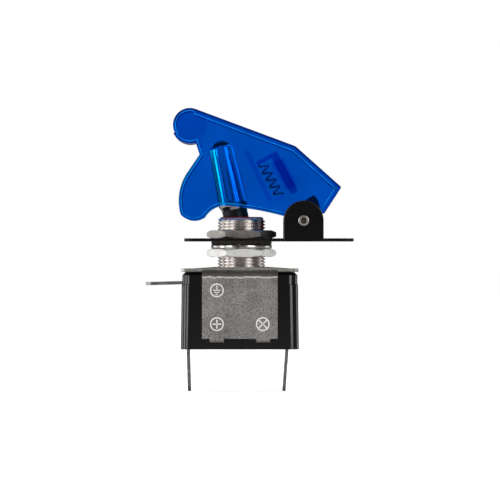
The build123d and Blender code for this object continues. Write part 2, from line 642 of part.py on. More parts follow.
def housing_cap():
    """Upper half of the case under the yoke, with a well for the bushing's lip and the lever's foot."""
    half = HOUSING_LENGTH / 2 - HOUSING_STEP
    cap = housing_block(PARTING, YOKE_UNDER, 2 * half, 2 * half)
    cap = chamfer(cap.faces().sort_by(Axis.Z)[-1].edges(), YOKE_BEND - SHEET + RUNNING)
    wall = HOUSING_WALL + HOUSING_STEP
    depth = HOUSING_DEPTH / 2 - HOUSING_WALL
    cap -= box_between((CASE_LEFT + wall, -depth, PARTING), (CASE_RIGHT - wall, depth, YOKE_UNDER - CAP_ROOF))
    cap -= Pos(0, 0, YOKE_UNDER - SPIGOT_LIP / 2) * Cylinder(SPIGOT_RADIUS + RUNNING, SPIGOT_LIP + 2 * SLIP)
    cap -= Pos(0, 0, YOKE_UNDER) * Cylinder(BALL_RADIUS + SPIGOT_LIP, 4 * CAP_ROOF)
    roof = EARTH_Z + SHEET / 2 + SLIP / 2
    return cap - box_between((CASE_LEFT - wall, -blade_slot(), PARTING),
                             (CASE_LEFT + wall, blade_slot(), roof))


def blade_slot():
    """Half the width of a slot that a blade passes through."""
    return BLADE_WIDTH / 2 + SLIP / 2


def housing_base():
    """Lower half of the case: a box with blade slots, strip rests and recesses for the yoke's tabs."""
    base = housing_block(HOUSING_BOTTOM, PARTING, HOUSING_LENGTH + 2 * HOUSING_DRAFT, HOUSING_LENGTH)
    depth = HOUSING_DEPTH / 2 - HOUSING_WALL
    floor = HOUSING_BOTTOM + HOUSING_FLOOR
    base -= box_between((CASE_LEFT + HOUSING_WALL, -depth, floor),
                        (CASE_RIGHT - HOUSING_WALL, depth, PARTING))
    for x in (-REST_SPACING, 0, REST_SPACING):
        base += box_between((x - REST_THICKNESS / 2, -depth, floor),
                            (x + REST_THICKNESS / 2, depth, strip_under()))
    for x in (POWER_X, LOAD_X):
        base -= box_between((x - SHEET / 2 - RUNNING, -blade_slot(), HOUSING_BOTTOM - AIR),
                            (x + SHEET / 2 + RUNNING, blade_slot(), floor + AIR))
    tab_low = YOKE_TOP - YOKE_DROP - TAB_DROP
    for side in (-1, 1):
        face_y = side * HOUSING_DEPTH / 2
        for end in (-1, 1):
            x = CASE_MIDDLE + end * TAB_SPACING / 2
            reach = TAB_WIDTH / 2 + SLIP
            back = face_y - side * (TAB_HOOK + SLIP)
            base -= box_between((x - reach, min(face_y, back), tab_low - SLIP),
                                (x + reach, max(face_y, back), tab_low + SHEET + SLIP))
            skin = face_y - side * TAB_RECESS
            base -= box_between((x - reach, min(face_y, skin), HOUSING_BOTTOM),
                                (x + reach, max(face_y, skin), tab_low + SHEET))
    return base


def strip_under():
    """Height of the undersides of the two contact strips."""
    return rocker_pivot() - FULCRUM_RISE - SHEET


def rocker_pivot():
    """Height of the rocker's rocking edge."""
    return PIVOT_Z - TIP_REACH - SLIP - ROCKER_SHEET


def strip(points, half_width=BLADE_WIDTH / 2):
    """Bent strip of terminal sheet along a path of centre points in X and Z."""
    return slab(trace(Polyline(*points), SHEET), -half_width, half_width)


def bottom_terminal(x, inner, lean):
    """Terminal whose strip lies on the case's rests and whose blade comes out of the floor."""
    top = strip_under() + SHEET / 2
    tip = (x + BLADE_DROP * tan(radians(lean)), HOUSING_BOTTOM - BLADE_DROP)
    body = strip([(inner, top), (x, top), (x, HOUSING_BOTTOM), tip])
    hole = Pos(tip[0], 0, tip[1] + BLADE_HOLE_IN) * Rot(0, 90, 0) * Cylinder(BLADE_HOLE, 4 * SHEET)
    corners = [e for e in body.edges() if e.center().Z < tip[1] + SHEET and e.length < 2 * SHEET
               and abs(abs(e.center().Y) - BLADE_WIDTH / 2) < SLIP]
    return chamfer(corners, BLADE_CORNER) - hole


def earth_terminal():
    """Terminal for the LED's earth, out of the left end between the two halves of the case."""
    tip = (CASE_LEFT - EARTH_REACH, EARTH_Z - EARTH_REACH * tan(radians(EARTH_LEAN)))
    body = strip([(EARTH_INNER, EARTH_Z), (CASE_LEFT, EARTH_Z), tip])
    hole = Pos(tip[0] + BLADE_HOLE_IN, 0, tip[1]) * Cylinder(BLADE_HOLE, 4 * SHEET)
    corners = [e for e in body.edges() if e.center().X < tip[0] + SHEET and e.length < 2 * SHEET
               and abs(abs(e.center().Y) - BLADE_WIDTH / 2) < SLIP]
    return chamfer(corners, BLADE_CORNER) - hole


def fixed_contact():
    """Silver contact on the power strip, under the rocker's left arm."""
    top = strip_under() + SHEET
    return Pos(-CONTACT_X, 0, top + CONTACT_HEIGHT / 2) * Cylinder(CONTACT_RADIUS, CONTACT_HEIGHT)


def rocked(shape):
    """Put a shape drawn level in X and Z about the rocker's edge in its OFF position."""
    return Pos(0, 0, rocker_pivot()) * Rot(0, ROCKER_TILT, 0) * shape


def contact_rocker():
    """Copper rocker: a shallow V of strip with a notch each side for the fulcrum's lugs."""
    rise = ROCKER_ARM * tan(radians(ROCKER_RISE))
    low = profile([(-ROCKER_ARM, rise), (0, 0), (ROCKER_ARM, rise),
                   (ROCKER_ARM, rise + ROCKER_SHEET), (0, ROCKER_SHEET), (-ROCKER_ARM, rise + ROCKER_SHEET)])
    body = slab(low - Circle(FULCRUM_CREST + RUNNING), -ROCKER_WIDTH / 2, ROCKER_WIDTH / 2)
    for side in (-1, 1):
        notch = Box(LUG_WIDTH + 4 * AIR, 2 * (LUG_SHEET + SLIP), 4 * ROCKER_SHEET)
        body -= Pos(0, side * ROCKER_WIDTH / 2, 0) * notch
    return rocked(body)


def moving_contact():
    """Silver contact under the rocker's left arm."""
    rise = CONTACT_X * tan(radians(ROCKER_RISE))
    body = Pos(-CONTACT_X, 0, rise) * Rot(0, ROCKER_RISE, 0) * Pos(0, 0, -CONTACT_HEIGHT / 2)
    return rocked(body * Cylinder(CONTACT_RADIUS, CONTACT_HEIGHT))


def rocker_fulcrum():
    """Brass saddle on the load strip: a round-topped ridge for the rocker and a lug each side of it."""
    base = strip_under() + SHEET
    crest = rocker_pivot()
    half = ROCKER_WIDTH / 2
    ridge = profile([(-FULCRUM_FOOT, base), (FULCRUM_FOOT, base),
                     (FULCRUM_CREST, crest), (-FULCRUM_CREST, crest)])
    body = slab(ridge + Pos(0, crest) * Circle(FULCRUM_CREST), -half, half)
    for side in (-1, 1):
        inner = side * (half - LUG_SHEET)
        outer = side * half
        body += box_between((-LUG_WIDTH / 2, min(inner, outer), base),
                            (LUG_WIDTH / 2, max(inner, outer), crest + 2 * ROCKER_SHEET))
    return body


def resistor():
    """The LED's series resistor, on the power strip, with its end caps and leads."""
    axis_z = strip_under() + SHEET + RESISTOR_RADIUS + LEAD_RADIUS
    cap = Rot(0, 90, 0) * Cylinder(RESISTOR_RADIUS, RESISTOR_LENGTH / 3)
    lead = Rot(0, 90, 0) * Cylinder(LEAD_RADIUS, 2 * RESISTOR_LEAD)
    body = Rot(0, 90, 0) * Cylinder(RESISTOR_RADIUS * RESISTOR_WAIST, RESISTOR_LENGTH)
    for end in (-1, 1):
        body += Pos(end * RESISTOR_LENGTH / 3, 0, 0) * cap
        body += Pos(end * RESISTOR_LENGTH / 2, 0, 0) * lead
        drop = RESISTOR_RADIUS + LEAD_RADIUS
        body += Pos(end * (RESISTOR_LENGTH / 2 + RESISTOR_LEAD), 0, -drop / 2 + LEAD_RADIUS / 2) * Cylinder(
            LEAD_RADIUS, drop + LEAD_RADIUS)
    return Pos(RESISTOR_X, 0, axis_z) * body


def main():
    """Build each piece and write it to its own file."""
    seal_low = -SEAL_HEIGHT
    lock_low = seal_low - LOCK_HEIGHT
    pieces = {
        "guard_bracket": guard_bracket(),
        "hinge_rivet": hinge_rivet(),
        "snap_cam": snap_cam(),
        "bushing": bushing(),
        "ball_retainer": ball_retainer(),
        "upper_nut": hex_nut(SHEET, UPPER_NUT_TURN),
        "sealing_washer": ring(SEAL_RADIUS, THREAD_RADIUS, seal_low, 0),
        "lock_washer": lock_washer(),
        "lower_nut": hex_nut(lock_low - NUT_HEIGHT, LOWER_NUT_TURN),
        "yoke": yoke(),
        "housing_cap": housing_cap(),
        "housing_base": housing_base(),
        "terminal_power": bottom_terminal(POWER_X, POWER_INNER, POWER_LEAN),
        "terminal_load": bottom_terminal(LOAD_X, LOAD_INNER, LOAD_LEAN),
        "terminal_earth": earth_terminal(),
        "fixed_contact": fixed_contact(),
        "rocker_fulcrum": rocker_fulcrum(),
        "resistor": resistor(),
        "actuator": actuator(),
        "pivot_pin": pivot_pin(),
        "lever_bat": lever_bat(),
        "lens": lens(),
        "led": led(),
        "led_leads": Compound(led_leads()),
        "contact_plunger": contact_plunger(),
        "plunger_spring": plunger_spring(),
        "contact_rocker": contact_rocker(),
        "moving_contact": moving_contact(),
        "safety_cover": safety_cover(),
        "snap_spring": snap_spring(),
        "snap_plunger": snap_plunger(),
    }
    os.makedirs("parts", exist_ok=True)
    for name, shape in pieces.items():
        export_step(shape, f"parts/{name}.step")


main()
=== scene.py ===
"""Illuminated toggle switch with a flip-up safety cover: finishes, thread, stamped signs and studio."""
import json
import logging
import math
from dataclasses import dataclass, field
from enum import Enum

import bmesh
import bpy
from mathutils import Matrix, Vector


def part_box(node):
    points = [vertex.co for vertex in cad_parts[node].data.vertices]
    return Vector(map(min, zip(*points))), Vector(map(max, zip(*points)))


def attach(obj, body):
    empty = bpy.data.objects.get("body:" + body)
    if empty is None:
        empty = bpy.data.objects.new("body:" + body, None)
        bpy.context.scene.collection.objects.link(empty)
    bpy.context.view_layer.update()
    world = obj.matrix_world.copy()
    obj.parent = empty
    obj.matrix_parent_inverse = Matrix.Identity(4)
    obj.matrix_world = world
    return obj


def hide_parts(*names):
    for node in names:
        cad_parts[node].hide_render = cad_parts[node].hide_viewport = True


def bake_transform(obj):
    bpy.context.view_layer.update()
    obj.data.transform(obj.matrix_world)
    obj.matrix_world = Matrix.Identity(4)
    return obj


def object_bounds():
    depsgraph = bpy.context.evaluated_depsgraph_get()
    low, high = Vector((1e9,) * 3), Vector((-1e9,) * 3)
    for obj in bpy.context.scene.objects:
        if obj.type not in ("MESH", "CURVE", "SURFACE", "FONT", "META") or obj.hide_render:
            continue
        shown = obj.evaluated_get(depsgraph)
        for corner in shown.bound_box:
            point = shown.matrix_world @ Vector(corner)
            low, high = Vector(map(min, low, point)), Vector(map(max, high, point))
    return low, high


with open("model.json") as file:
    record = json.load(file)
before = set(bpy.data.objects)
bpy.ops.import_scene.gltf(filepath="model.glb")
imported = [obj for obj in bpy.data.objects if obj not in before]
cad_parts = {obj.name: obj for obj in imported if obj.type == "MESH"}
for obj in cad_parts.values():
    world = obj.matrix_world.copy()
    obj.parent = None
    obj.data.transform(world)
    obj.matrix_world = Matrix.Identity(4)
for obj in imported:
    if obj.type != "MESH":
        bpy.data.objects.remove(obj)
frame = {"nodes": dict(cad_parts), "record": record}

MM = 0.001
WELD = 0.002 * MM
FINE_WELD = 0.001 * MM
ON_WALL = 0.01 * MM
FACES_OUT = 0.99
WIDE_SPREAD = (0.75, 1.3)
EVEN_SPREAD = (0.85, 1.2)
CAD_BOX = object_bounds()
log = logging.getLogger("switch")

Colour = tuple[float, float, float]


class Body(Enum):
    """The bodies that pieces ride on."""

    SWITCH = "switch_body"
    LEVER = "lever"
    COVER = "cover"
    SNAP_PLUNGER = "snap_plunger"
    CONTACT_PLUNGER = "contact_plunger"


class Sign(Enum):
    """The three signs stamped in the yoke's front."""

    EARTH = "earth"
    PLUS = "plus"
    LAMP = "lamp"


class Graph:
    """A material's node tree with short calls to add and join its nodes."""

    def __init__(self, name: str) -> None:
        """Start an empty material.

        Args:
            name: the material's name.
        """
        self.material = bpy.data.materials.new(name)
        self.material.use_nodes = True
        self.tree = self.material.node_tree
        self.tree.nodes.clear()
        self.output = self.tree.nodes.new("ShaderNodeOutputMaterial")
        self.place = self.tree.nodes.new("ShaderNodeTexCoord").outputs["Object"]

    def add(self, kind: str, **settings: object) -> bpy.types.Node:
        """Add a node and set its plain properties.

        Args:
            kind: the node's type without its ShaderNode prefix.
            settings: properties of the node.

        Returns:
            The new node.
        """
        node = self.tree.nodes.new("ShaderNode" + kind)
        for key, value in settings.items():
            setattr(node, key, value)
        return node

    def join(self, source: bpy.types.NodeSocket, target: bpy.types.NodeSocket) -> None:
        """Link one socket to another."""
        self.tree.links.new(source, target)

    def noise(self, per_metre: float, detail: float = 3.0, roughness: float = 0.5) -> bpy.types.NodeSocket:
        """Noise in the piece's own coordinates.

        Args:
            per_metre: how many blots there are in a metre.
            detail: octaves of finer noise.
            roughness: weight of the finer octaves.

        Returns:
            The noise's grey value.
        """
        noise = self.add("TexNoise")
        noise.inputs["Scale"].default_value = per_metre
        noise.inputs["Detail"].default_value = detail
        noise.inputs["Roughness"].default_value = roughness
        self.join(self.place, noise.inputs["Vector"])
        return noise.outputs["Fac"]

    def span(self, value: bpy.types.NodeSocket, low: float, high: float,
             low_in: float = 0.3, high_in: float = 0.7) -> bpy.types.NodeSocket:
        """Stretch a grey value to a range.

        Args:
            value: the grey value.
            low: result at low_in.
            high: result at high_in.
            low_in: value that gives low.
            high_in: value that gives high.

        Returns:
            The stretched value.
        """
        node = self.add("MapRange")
        self.join(value, node.inputs["Value"])
        for name, number in (("From Min", low_in), ("From Max", high_in), ("To Min", low), ("To Max", high)):
            node.inputs[name].default_value = number
        return node.outputs["Result"]

    def blend(self, value: bpy.types.NodeSocket, first: Colour, second: Colour) -> bpy.types.NodeSocket:
        """Mix two colours by a grey value.

        Args:
            value: 0 for the first colour, 1 for the second.
            first: linear colour.
            second: linear colour.

        Returns:
            The mixed colour.
        """
        node = self.add("Mix", data_type="RGBA")
        self.join(value, node.inputs["Factor"])
        node.inputs[6].default_value = (*first, 1.0)
        node.inputs[7].default_value = (*second, 1.0)
        return node.outputs[2]

    def band(self, axis: str, centre: float, half: float, blur: float, wobble: float = 0.0
             ) -> bpy.types.NodeSocket:
        """Mask of a band across the piece, in its own coordinates.

        Args:
            axis: X, Y or Z, the axis that the band lies across.
            centre: where its middle is in mm.
            half: half of its width in mm.
            blur: how far its sides fade out in mm.
            wobble: how far noise pushes it to and fro in mm.

        Returns:
            1 in the band and 0 outside it.
        """
        split = self.add("SeparateXYZ")
        self.join(self.place, split.inputs["Vector"])
        place = split.outputs[axis]
        if wobble:
            push = self.add("Math", operation="MULTIPLY_ADD")
            self.join(self.noise(900.0, 2.0), push.inputs[0])
            push.inputs[1].default_value = 2 * wobble * MM
            self.join(place, push.inputs[2])
            place = push.outputs["Value"]
        away = self.add("Math", operation="SUBTRACT")
        self.join(place, away.inputs[0])
        away.inputs[1].default_value = (centre + wobble) * MM
        reach = self.add("Math", operation="ABSOLUTE")
        self.join(away.outputs["Value"], reach.inputs[0])
        return self.span(reach.outputs["Value"], 1.0, 0.0, half * MM, (half + blur) * MM)

    def lay(self, mask: bpy.types.NodeSocket, under: bpy.types.NodeSocket, colour: Colour
            ) -> bpy.types.NodeSocket:
        """Lay a colour over another where a mask says so.

        Args:
            mask: 1 where the colour covers.
            under: the colour below.
            colour: the linear colour on top.

        Returns:
            The colour of both.
        """
        node = self.add("Mix", data_type="RGBA")
        self.join(mask, node.inputs["Factor"])
        self.join(under, node.inputs[6])
        node.inputs[7].default_value = (*colour, 1.0)
        return node.outputs[2]

    def bump(self, height: bpy.types.NodeSocket, depth: float, normal: bpy.types.NodeSocket | None = None
             ) -> bpy.types.NodeSocket:
        """Bump a surface.

        Args:
            height: grey height.
            depth: height of the relief in metres.
            normal: an earlier normal to add to.

        Returns:
            The bumped normal.
        """
        node = self.add("Bump")
        node.inputs["Strength"].default_value = 1.0
        node.inputs["Distance"].default_value = depth
        self.join(height, node.inputs["Height"])
        if normal is not None:
            self.join(normal, node.inputs["Normal"])
        return node.outputs["Normal"]

    def surface(self, **sockets: object) -> bpy.types.Node:
        """Add the principled shader that ends the tree.

        Args:
            sockets: constants for its sockets, with underscores for spaces.

        Returns:
            The shader node.
        """
        shader = self.add("BsdfPrincipled")
        for key, value in sockets.items():
            shader.inputs[key.replace("_", " ")].default_value = value
        self.join(shader.outputs["BSDF"], self.output.inputs["Surface"])
        return shader


def shade(colour: Colour, factor: float) -> Colour:
    """A colour made lighter or darker by a factor."""
    return tuple(min(1.0, channel * factor) for channel in colour)


@dataclass(frozen=True)
class Metal:
    """Metal with clouded tone, uneven gloss and a fine surface grain."""

    name: str
    colour: Colour
    roughness: float
    cloud_per_m: float = 300.0
    cloud_depth: float = 0.12
    grain_per_m: float = 6000.0
    grain_height: float = 0.000002
    metallic: float = 1.0

    def build(self) -> bpy.types.Material:
        """Make the material."""
        graph = Graph(self.name)
        shader = graph.surface(Metallic=self.metallic)
        clouds = graph.noise(self.cloud_per_m, 4.0, 0.6)
        tone = graph.blend(graph.span(clouds, 0.0, 1.0), shade(self.colour, 1 - self.cloud_depth),
                           shade(self.colour, 1 + self.cloud_depth))
        graph.join(tone, shader.inputs["Base Color"])
        gloss = graph.noise(self.cloud_per_m * 3, 3.0)
        graph.join(graph.span(gloss, self.roughness * WIDE_SPREAD[0], self.roughness * WIDE_SPREAD[1]),
                   shader.inputs["Roughness"])
        grain = graph.noise(self.grain_per_m, 2.0)
        graph.join(graph.bump(grain, self.grain_height), shader.inputs["Normal"])
        return graph.material


@dataclass(frozen=True)
class SpeckledPlate:
    """Plated pressed sheet with light and dark specks, a painted highlight line below its bend, and a band of
    painted shade across the bend.
    """

    name: str = "plated_sheet"
    dark: Colour = (0.25, 0.23, 0.21)
    middle: Colour = (0.78, 0.74, 0.70)
    light: Colour = (1.0, 0.99, 0.96)
    # line is the colour of the painted highlight below the bend; shaded is the painted shade across the bend
    line: Colour = (0.46, 0.45, 0.42)
    shaded: Colour = (0.10, 0.09, 0.08)
    highlight_line_z: float = -9.1
    highlight_line_half: float = 0.06
    highlight_line_blur: float = 0.14
    highlight_line_wobble: float = 0.42
    bend_above: float = 0.95
    bend_half: float = 0.45
    bend_blur: float = 0.35
    bend_wobble: float = 0.15
    speck_per_m: float = 3800.0
    patch_per_m: float = 250.0
    roughness: float = 0.42
    pit_height: float = 0.000012

    def build(self) -> bpy.types.Material:
        """Make the material."""
        graph = Graph(self.name)
        shader = graph.surface(Metallic=1.0)
        specks = graph.noise(self.speck_per_m, 5.0, 0.75)
        dim = graph.blend(graph.span(specks, 0.0, 1.0, 0.36, 0.52), self.dark, self.middle)
        bright = graph.lay(graph.span(specks, 0.0, 1.0, 0.53, 0.68), dim, self.light)
        # painted shade: a dark band across the bend, standing for the dark guard plate mirrored there
        bend = graph.band("Z", self.highlight_line_z + self.bend_above, self.bend_half, self.bend_blur,
                          self.bend_wobble)
        shaded = graph.lay(graph.span(bend, 0.0, 0.75, 0.0, 1.0), bright, self.shaded)
        # painted highlight: a light, less metallic line just below the bend
        line = graph.band("Z", self.highlight_line_z, self.highlight_line_half, self.highlight_line_blur, self.highlight_line_wobble)
        graph.join(graph.lay(line, shaded, self.line), shader.inputs["Base Color"])
        graph.join(graph.span(line, 1.0, 0.1, 0.0, 1.0), shader.inputs["Metallic"])
        patches = graph.noise(self.patch_per_m, 3.0)
        graph.join(graph.span(patches, self.roughness * EVEN_SPREAD[0], self.roughness * EVEN_SPREAD[1]),
                   shader.inputs["Roughness"])
        graph.join(graph.bump(specks, self.pit_height), shader.inputs["Normal"])
        return graph.material


@dataclass(frozen=True)
class Plastic:
    """Opaque moulded plastic or paint, with a faint mottle and a fine moulded skin."""

    name: str
    colour: Colour
    roughness: float = 0.4
    skin_per_m: float = 5000.0
    skin_height: float = 0.000004
    mottle: float = 0.25
    mottle_per_m: float = 220.0
    gloss_per_m: float = 900.0
    gloss: float = 0.5

    def build(self) -> bpy.types.Material:
        """Make the material."""
        graph = Graph(self.name)
        shader = graph.surface(Specular_IOR_Level=self.gloss)
        clouds = graph.noise(self.mottle_per_m, 4.0, 0.6)
        tone = graph.blend(graph.span(clouds, 0.0, 1.0), shade(self.colour, 1 - self.mottle),
                           shade(self.colour, 1 + self.mottle))
        graph.join(tone, shader.inputs["Base Color"])
        gloss = graph.noise(self.gloss_per_m)
        graph.join(graph.span(gloss, self.roughness * EVEN_SPREAD[0], self.roughness * EVEN_SPREAD[1]),
                   shader.inputs["Roughness"])
        graph.join(graph.bump(graph.noise(self.skin_per_m, 2.0), self.skin_height), shader.inputs["Normal"])
        return graph.material


@dataclass(frozen=True)
class TintedPlastic:
    """Glossy see-through plastic: a tint at each surface, and more colour the thicker it is."""

    name: str
    tint: Colour
    absorb_colour: Colour
    absorb_per_m: float
    gleam: Colour = (1.0, 1.0, 1.0)
    roughness: float = 0.03
    flow_per_m: float = 90.0
    flow_height: float = 0.00002
    gloss_per_m: float = 600.0

    def build(self) -> bpy.types.Material:
        """Make the material."""
        graph = Graph(self.name)
        shader = graph.surface(Transmission_Weight=1.0, IOR=1.49, Specular_Tint=(*self.gleam, 1.0))
        flow = graph.noise(self.flow_per_m, 2.0)
        tone = graph.blend(graph.span(flow, 0.0, 1.0), shade(self.tint, 0.94), shade(self.tint, 1.06))
        graph.join(tone, shader.inputs["Base Color"])
        gloss = graph.noise(self.gloss_per_m)
        graph.join(graph.span(gloss, self.roughness, self.roughness * 2.5), shader.inputs["Roughness"])
        graph.join(graph.bump(flow, self.flow_height), shader.inputs["Normal"])
        volume = graph.add("VolumeAbsorption")
        volume.inputs["Color"].default_value = (*self.absorb_colour, 1.0)
        volume.inputs["Density"].default_value = self.absorb_per_m
        graph.join(volume.outputs["Volume"], graph.output.inputs["Volume"])
        return graph.material


@dataclass(frozen=True)
class PaintedHighlightLine:
    """Light blue painted highlight on a fine step of the see-through cover."""

    name: str = "blue_line"
    colour: Colour = (0.0, 0.15, 0.60)
    gleam: Colour = (0.1, 0.6, 1.0)
    flow_per_m: float = 400.0
    roughness: float = 0.35

    def build(self) -> bpy.types.Material:
        """Make the material."""
        graph = Graph(self.name)
        shader = graph.surface(Specular_Tint=(*self.gleam, 1.0))
        flow = graph.noise(self.flow_per_m, 3.0)
        tone = graph.blend(graph.span(flow, 0.0, 1.0), shade(self.colour, 0.6), shade(self.colour, 1.4))
        graph.join(tone, shader.inputs["Base Color"])
        graph.join(graph.span(flow, self.roughness * 0.8, self.roughness * 1.2), shader.inputs["Roughness"])
        return graph.material


@dataclass(frozen=True)
class RimmedNickel:
    """Turned nickel with a painted dark red reflection over its upper rim and down its threads on one side.
    """

    name: str = "bushing_nickel"
    colour: Colour = (0.74, 0.69, 0.66)
    painted_red_reflection: Colour = (0.11, 0.010, 0.012)
    roughness: float = 0.26
    cloud_per_m: float = 300.0
    cloud_depth: float = 0.12
    rim_z: float = 6.25
    rim_half: float = 0.3
    rim_blur: float = 0.25
    rim_wobble: float = 0.1
    side_x: float = 6.0
    side_half: float = 0.9
    side_blur: float = 1.0
    side_wobble: float = 0.2
    side_drop: float = 4.2
    side_fade: float = 0.5
    grain_per_m: float = 6000.0
    grain_height: float = 0.000002

    def build(self) -> bpy.types.Material:
        """Make the material."""
        graph = Graph(self.name)
        shader = graph.surface(Metallic=1.0)
        clouds = graph.noise(self.cloud_per_m, 4.0, 0.6)
        tone = graph.blend(graph.span(clouds, 0.0, 1.0), shade(self.colour, 1 - self.cloud_depth),
                           shade(self.colour, 1 + self.cloud_depth))
        # painted reflection: a dark red band round the upper rim and down one side of the thread
        edge = graph.band("Z", self.rim_z, self.rim_half, self.rim_blur, self.rim_wobble)
        rim = graph.lay(edge, tone, self.painted_red_reflection)
        side = graph.band("X", self.side_x, self.side_half, self.side_blur, self.side_wobble)
        above = graph.band("Z", self.rim_z, self.side_drop, self.side_fade)
        both = graph.add("Math", operation="MULTIPLY")
        graph.join(side, both.inputs[0])
        graph.join(above, both.inputs[1])
        graph.join(graph.lay(both.outputs["Value"], rim, self.painted_red_reflection), shader.inputs["Base Color"])
        painted_reflection_mask = graph.add("Math", operation="MAXIMUM")
        graph.join(edge, painted_reflection_mask.inputs[0])
        graph.join(both.outputs["Value"], painted_reflection_mask.inputs[1])
        graph.join(graph.span(painted_reflection_mask.outputs["Value"], 1.0, 0.0, 0.0, 1.0), shader.inputs["Metallic"])
        graph.join(graph.span(clouds, self.roughness * WIDE_SPREAD[0], self.roughness * WIDE_SPREAD[1]),
                   shader.inputs["Roughness"])
        graph.join(graph.bump(graph.noise(self.grain_per_m, 2.0), self.grain_height), shader.inputs["Normal"])
        return graph.material


def copy_of(node: str) -> bmesh.types.BMesh:
    """Copy a CAD node's mesh in its place, with its corners welded.

    Args:
        node: the node's name.

    Returns:
        The copy, in metres.
    """
    source = frame["nodes"][node]
    mesh = bmesh.new()
    mesh.from_mesh(source.data)
    mesh.transform(source.matrix_world)
    bmesh.ops.remove_doubles(mesh, verts=mesh.verts, dist=WELD)
    return mesh


def keep(mesh: bmesh.types.BMesh, name: str) -> bpy.types.Object:
    """Turn a bmesh into an object at the origin, with outward normals.

    Args:
        mesh: the bmesh, in metres; it is freed.
        name: the object's name.

    Returns:
        The linked object.
    """
    bmesh.ops.remove_doubles(mesh, verts=mesh.verts, dist=FINE_WELD)
    bmesh.ops.recalc_face_normals(mesh, faces=mesh.faces)
    data = bpy.data.meshes.new(name)
    mesh.to_mesh(data)
    mesh.free()
    piece = bpy.data.objects.new(name, data)
    bpy.context.scene.collection.objects.link(piece)
    return piece


def dress(piece: bpy.types.Object, material: bpy.types.Material, body: Body) -> None:
    """Give a finished piece its material, body and material slot."""
    piece.data.materials.clear()
    piece.data.materials.append(material)
    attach(piece, body.value)


def smooth_by_angle(mesh: bmesh.types.BMesh, limit: float = 32.0) -> None:
    """Shade a bmesh smooth, with its sharper edges kept crisp.

    Args:
        mesh: the bmesh.
        limit: angle in degrees above which an edge stays crisp.
    """
    for face in mesh.faces:
        face.smooth = True
    for edge in mesh.edges:
        edge.smooth = len(edge.link_faces) == 2 and edge.calc_face_angle(0.0) < math.radians(limit)


@dataclass
class SoftenedNode:
    """A copy of a CAD node with its sharp edges broken, so that they catch the light."""

    node: str
    body: Body
    slot: str
    break_mm: float = 0.12
    segments: int = 2
    sharp_above: float = 38.0
    flatten_deg: float = 0.5
    edge: str | None = None
    finish: str | None = None

    def build(self, material: bpy.types.Material, edge: bpy.types.Material | None = None
              ) -> bpy.types.Object:
        """Copy the node, merge it, break its edges and let it stand for the node.

        Args:
            material: the finish.
            edge: the finish of the broken edges, when it differs.

        Returns:
            The new piece.
        """
        mesh = copy_of(self.node)
        bmesh.ops.recalc_face_normals(mesh, faces=mesh.faces)
        bmesh.ops.dissolve_limit(mesh, angle_limit=math.radians(self.flatten_deg), verts=mesh.verts,
                                 edges=mesh.edges)
        smooth_by_angle(mesh)
        piece = keep(mesh, self.node + "_softened")
        bevel = piece.modifiers.new("break", "BEVEL")
        bevel.width = self.break_mm * MM
        bevel.segments = self.segments
        bevel.limit_method = "ANGLE"
        bevel.angle_limit = math.radians(self.sharp_above)
        bevel.use_clamp_overlap = True
        bevel.harden_normals = True
        dress(piece, material, self.body)
        if edge is not None:
            piece.data.materials.append(edge)
            bevel.material = 1
        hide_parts(self.node)
        return piece


@dataclass
class CoilSpring:
    """A copy of a CAD spring, shaded smooth, that stands for the CAD node.

    fixed_leads is not used; it would mark the fixed end as the one further along the travel.
    """

    node: str
    slot: str
    fixed: Body
    moving: Body
    travel: tuple[float, float, float]
    fixed_leads: bool

    def build(self, material: bpy.types.Material) -> bpy.types.Object:
        """Copy the spring, shade it smooth, give it its finish and let it stand for the CAD node.

        Args:
            material: the finish.

        Returns:
            The new piece.
        """
        mesh = copy_of(self.node)
        smooth_by_angle(mesh)
        piece = keep(mesh, self.node + "_coils")
        piece.data.materials.clear()
        piece.data.materials.append(material)
        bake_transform(piece)
        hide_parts(self.node)
        return piece


def is_rim(edge: bmesh.types.BMEdge, side: int, wall: float, sharp_above: float = 40.0) -> bool:
    """Tell whether an edge is an outer edge of one of the cover's side walls.

    Args:
        edge: the edge.
        side: -1 for the near wall, 1 for the far wall.
        wall: y of that wall's outer face.
        sharp_above: angle in degrees above which an edge is sharp.

    Returns:
        Whether the edge is sharp and lies in that face.
    """
    flat = all(abs(vertex.co.y - wall) < ON_WALL for vertex in edge.verts)
    sharp = edge.calc_face_angle(0.0) > math.radians(sharp_above)
    return flat and sharp and any(face.normal.y * side > FACES_OUT for face in edge.link_faces)


@dataclass
class RimmedCover:
    """The see-through cover, with rounded rims round each side wall."""

    rim_mm: float = 0.3
    rim_segments: int = 3
    flatten_deg: float = 1.0
    crisp_deg: float = 1.0
    flat_normal: float = 0.999

    def build(self, material: bpy.types.Material) -> bpy.types.Object:
        """Copy the CAD cover and round its rims.

        Args:
            material: the finish.

        Returns:
            The new piece.
        """
        mesh = copy_of("safety_cover")
        bmesh.ops.recalc_face_normals(mesh, faces=mesh.faces)
        bmesh.ops.dissolve_limit(mesh, angle_limit=math.radians(self.flatten_deg), verts=mesh.verts,
                                 edges=mesh.edges)
        low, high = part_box("safety_cover")
        for side, wall in ((-1, low.y), (1, high.y)):
            rim = [edge for edge in mesh.edges if is_rim(edge, side, wall)]
            bmesh.ops.bevel(mesh, geom=rim, offset=self.rim_mm * MM, segments=self.rim_segments, profile=0.5,
                            affect="EDGES", material=-1, clamp_overlap=True)
        smooth_by_angle(mesh)
        for edge in mesh.edges:
            flat = any(abs(face.normal.y) > self.flat_normal for face in edge.link_faces)
            if flat and edge.calc_face_angle(0.0) > math.radians(self.crisp_deg):
                edge.smooth = False
        piece = keep(mesh, "safety_cover_rimmed")
        dress(piece, material, Body.COVER)
        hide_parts("safety_cover")
        return piece


